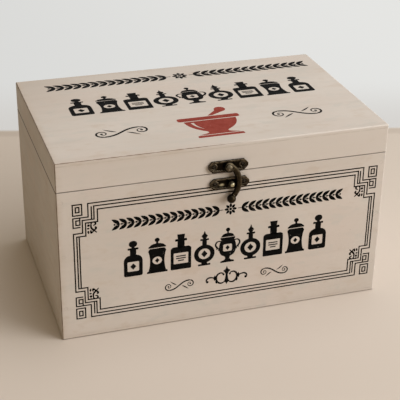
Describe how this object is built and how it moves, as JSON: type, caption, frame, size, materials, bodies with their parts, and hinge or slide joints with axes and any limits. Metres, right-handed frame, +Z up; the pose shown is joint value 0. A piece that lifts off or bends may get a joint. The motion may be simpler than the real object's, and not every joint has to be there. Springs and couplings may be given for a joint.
{
  "type": "wooden apothecary box with hinged lid",
  "caption": "Rectangular painted wooden case with a shallow hinged lid, a bronze swing-hook latch on the front and butt hinges on the back.",
  "frame": {"origin": "centre of the underside of the closed box", "axes": "+Z up, -Y out of the front with the latch, +X to the right seen from the front"},
  "size_m": [0.28, 0.1899, 0.16],
  "materials": {
    "painted_wood": "matt greige paint over softwood, lightly worn",
    "brad_steel": "heads painted over with the wood",
    "bronze": "dark antique bronze, satin",
    "rubbed_bronze": "antique bronze rubbed to brass on the high spots",
    "screw_bronze": "bronzed steel, satin"
  },
  "bodies": {
    "box": {"front_board": "painted_wood", "back_board": "painted_wood", "left_board": "painted_wood", "right_board": "painted_wood", "base_panel": "painted_wood", "body_brads": "brad_steel", "catch_plate": "bronze", "catch_stud": "rubbed_bronze", "catch_plate_screws": "screw_bronze", "left_hinge_body_leaf": "bronze", "left_hinge_pin": "rubbed_bronze", "right_hinge_body_leaf": "bronze", "right_hinge_pin": "rubbed_bronze", "hinge_body_screws": "screw_bronze"},
    "lid": {"lid_panel": "painted_wood", "lid_front_rail": "painted_wood", "lid_back_rail": "painted_wood", "lid_left_rail": "painted_wood", "lid_right_rail": "painted_wood", "lid_brads": "brad_steel", "hook_plate": "bronze", "hook_rivet": "rubbed_bronze", "hook_plate_screws": "screw_bronze", "left_hinge_lid_leaf": "bronze", "right_hinge_lid_leaf": "bronze", "hinge_lid_screws": "screw_bronze"},
    "hook": {"latch_hook": "bronze"}
  },
  "joints": [
    {"name": "lid_hinge", "type": "hinge", "parent": "box", "child": "lid", "pos_m": [0, 0.0909, 0.135], "axis": [-1, 0, 0], "range_deg": [0, 187]},
    {"name": "hook_swing", "type": "hinge", "parent": "lid", "child": "hook", "pos_m": [-0.0002, -0.089, 0.1403], "axis": [0, -1, 0], "range_deg": [0, 290]}
  ]
}
